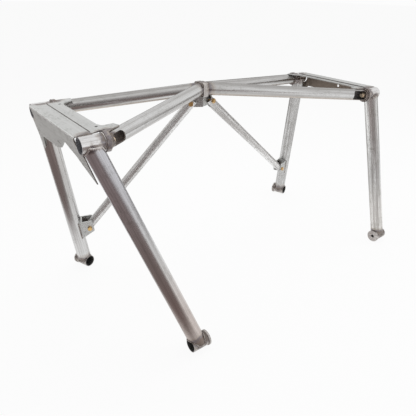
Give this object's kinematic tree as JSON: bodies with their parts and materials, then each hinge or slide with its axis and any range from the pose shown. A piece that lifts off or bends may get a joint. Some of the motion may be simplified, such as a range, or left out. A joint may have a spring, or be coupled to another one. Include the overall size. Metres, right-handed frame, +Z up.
{
  "type": "bed cage",
  "caption": "Free-standing bed cage of welded steel tube: two leaning hoops with folded headers, joined by a bolted X brace and braced by two diagonal kickers.",
  "frame": {"origin": "floor level under the middle of the cage's bounding box", "axes": "+X along the cage from the left hoop to the right hoop, +Y across it from the near legs to the far legs, +Z up"},
  "size_m": [1.2989, 0.7102, 0.733],
  "materials": {
    "tube_steel": "bare drawn tube, oily sheen",
    "corner_steel": "bare machined tube, bright",
    "sheet_steel": "bare rolled sheet, satin",
    "flange_steel": "heat-tinted by welding",
    "disc_steel": "bare cut plate, satin",
    "zinc_bolt": "yellow zinc plate"
  },
  "bodies": {
    "root": {"near_left_leg": "tube_steel", "near_left_corner_tube": "corner_steel", "near_left_brace_tube": "tube_steel", "near_left_foot_tube": "corner_steel", "near_left_foot_disc": "disc_steel", "near_left_corner_flange": "flange_steel", "near_left_brace_flange": "flange_steel", "near_left_corner_bolt": "zinc_bolt", "near_left_corner_nut": "zinc_bolt", "far_left_leg": "tube_steel", "far_left_corner_tube": "corner_steel", "far_left_brace_tube": "tube_steel", "far_left_foot_tube": "corner_steel", "far_left_foot_disc": "disc_steel", "far_left_corner_flange": "flange_steel", "far_left_brace_flange": "flange_steel", "far_left_corner_bolt": "zinc_bolt", "far_left_corner_nut": "zinc_bolt", "near_right_leg": "tube_steel", "near_right_corner_tube": "corner_steel", "near_right_brace_tube": "tube_steel", "near_right_foot_tube": "corner_steel", "near_right_foot_disc": "disc_steel", "near_right_corner_flange": "flange_steel", "near_right_brace_flange": "flange_steel", "near_right_corner_bolt": "zinc_bolt", "near_right_corner_nut": "zinc_bolt", "far_right_leg": "tube_steel", "far_right_corner_tube": "corner_steel", "far_right_brace_tube": "tube_steel", "far_right_foot_tube": "corner_steel", "far_right_foot_disc": "disc_steel", "far_right_corner_flange": "flange_steel", "far_right_brace_flange": "flange_steel", "far_right_corner_bolt": "zinc_bolt", "far_right_corner_nut": "zinc_bolt", "left_header": "sheet_steel", "left_gusset": "sheet_steel", "left_center_plate": "flange_steel", "left_kicker": "tube_steel", "left_kicker_tab": "sheet_steel", "left_kicker_clevis": "sheet_steel", "left_kicker_upper_bolt": "zinc_bolt", "left_kicker_upper_nut": "zinc_bolt", "left_kicker_lower_bolt": "zinc_bolt", "left_kicker_lower_nut": "zinc_bolt", "right_header": "sheet_steel", "right_gusset": "sheet_steel", "right_center_plate": "flange_steel", "right_kicker": "tube_steel", "right_kicker_tab": "sheet_steel", "right_kicker_clevis": "sheet_steel", "right_kicker_upper_bolt": "zinc_bolt", "right_kicker_upper_nut": "zinc_bolt", "right_kicker_lower_bolt": "zinc_bolt", "right_kicker_lower_nut": "zinc_bolt", "center_bolt": "zinc_bolt", "center_nut": "zinc_bolt"}
  },
  "joints": []
}
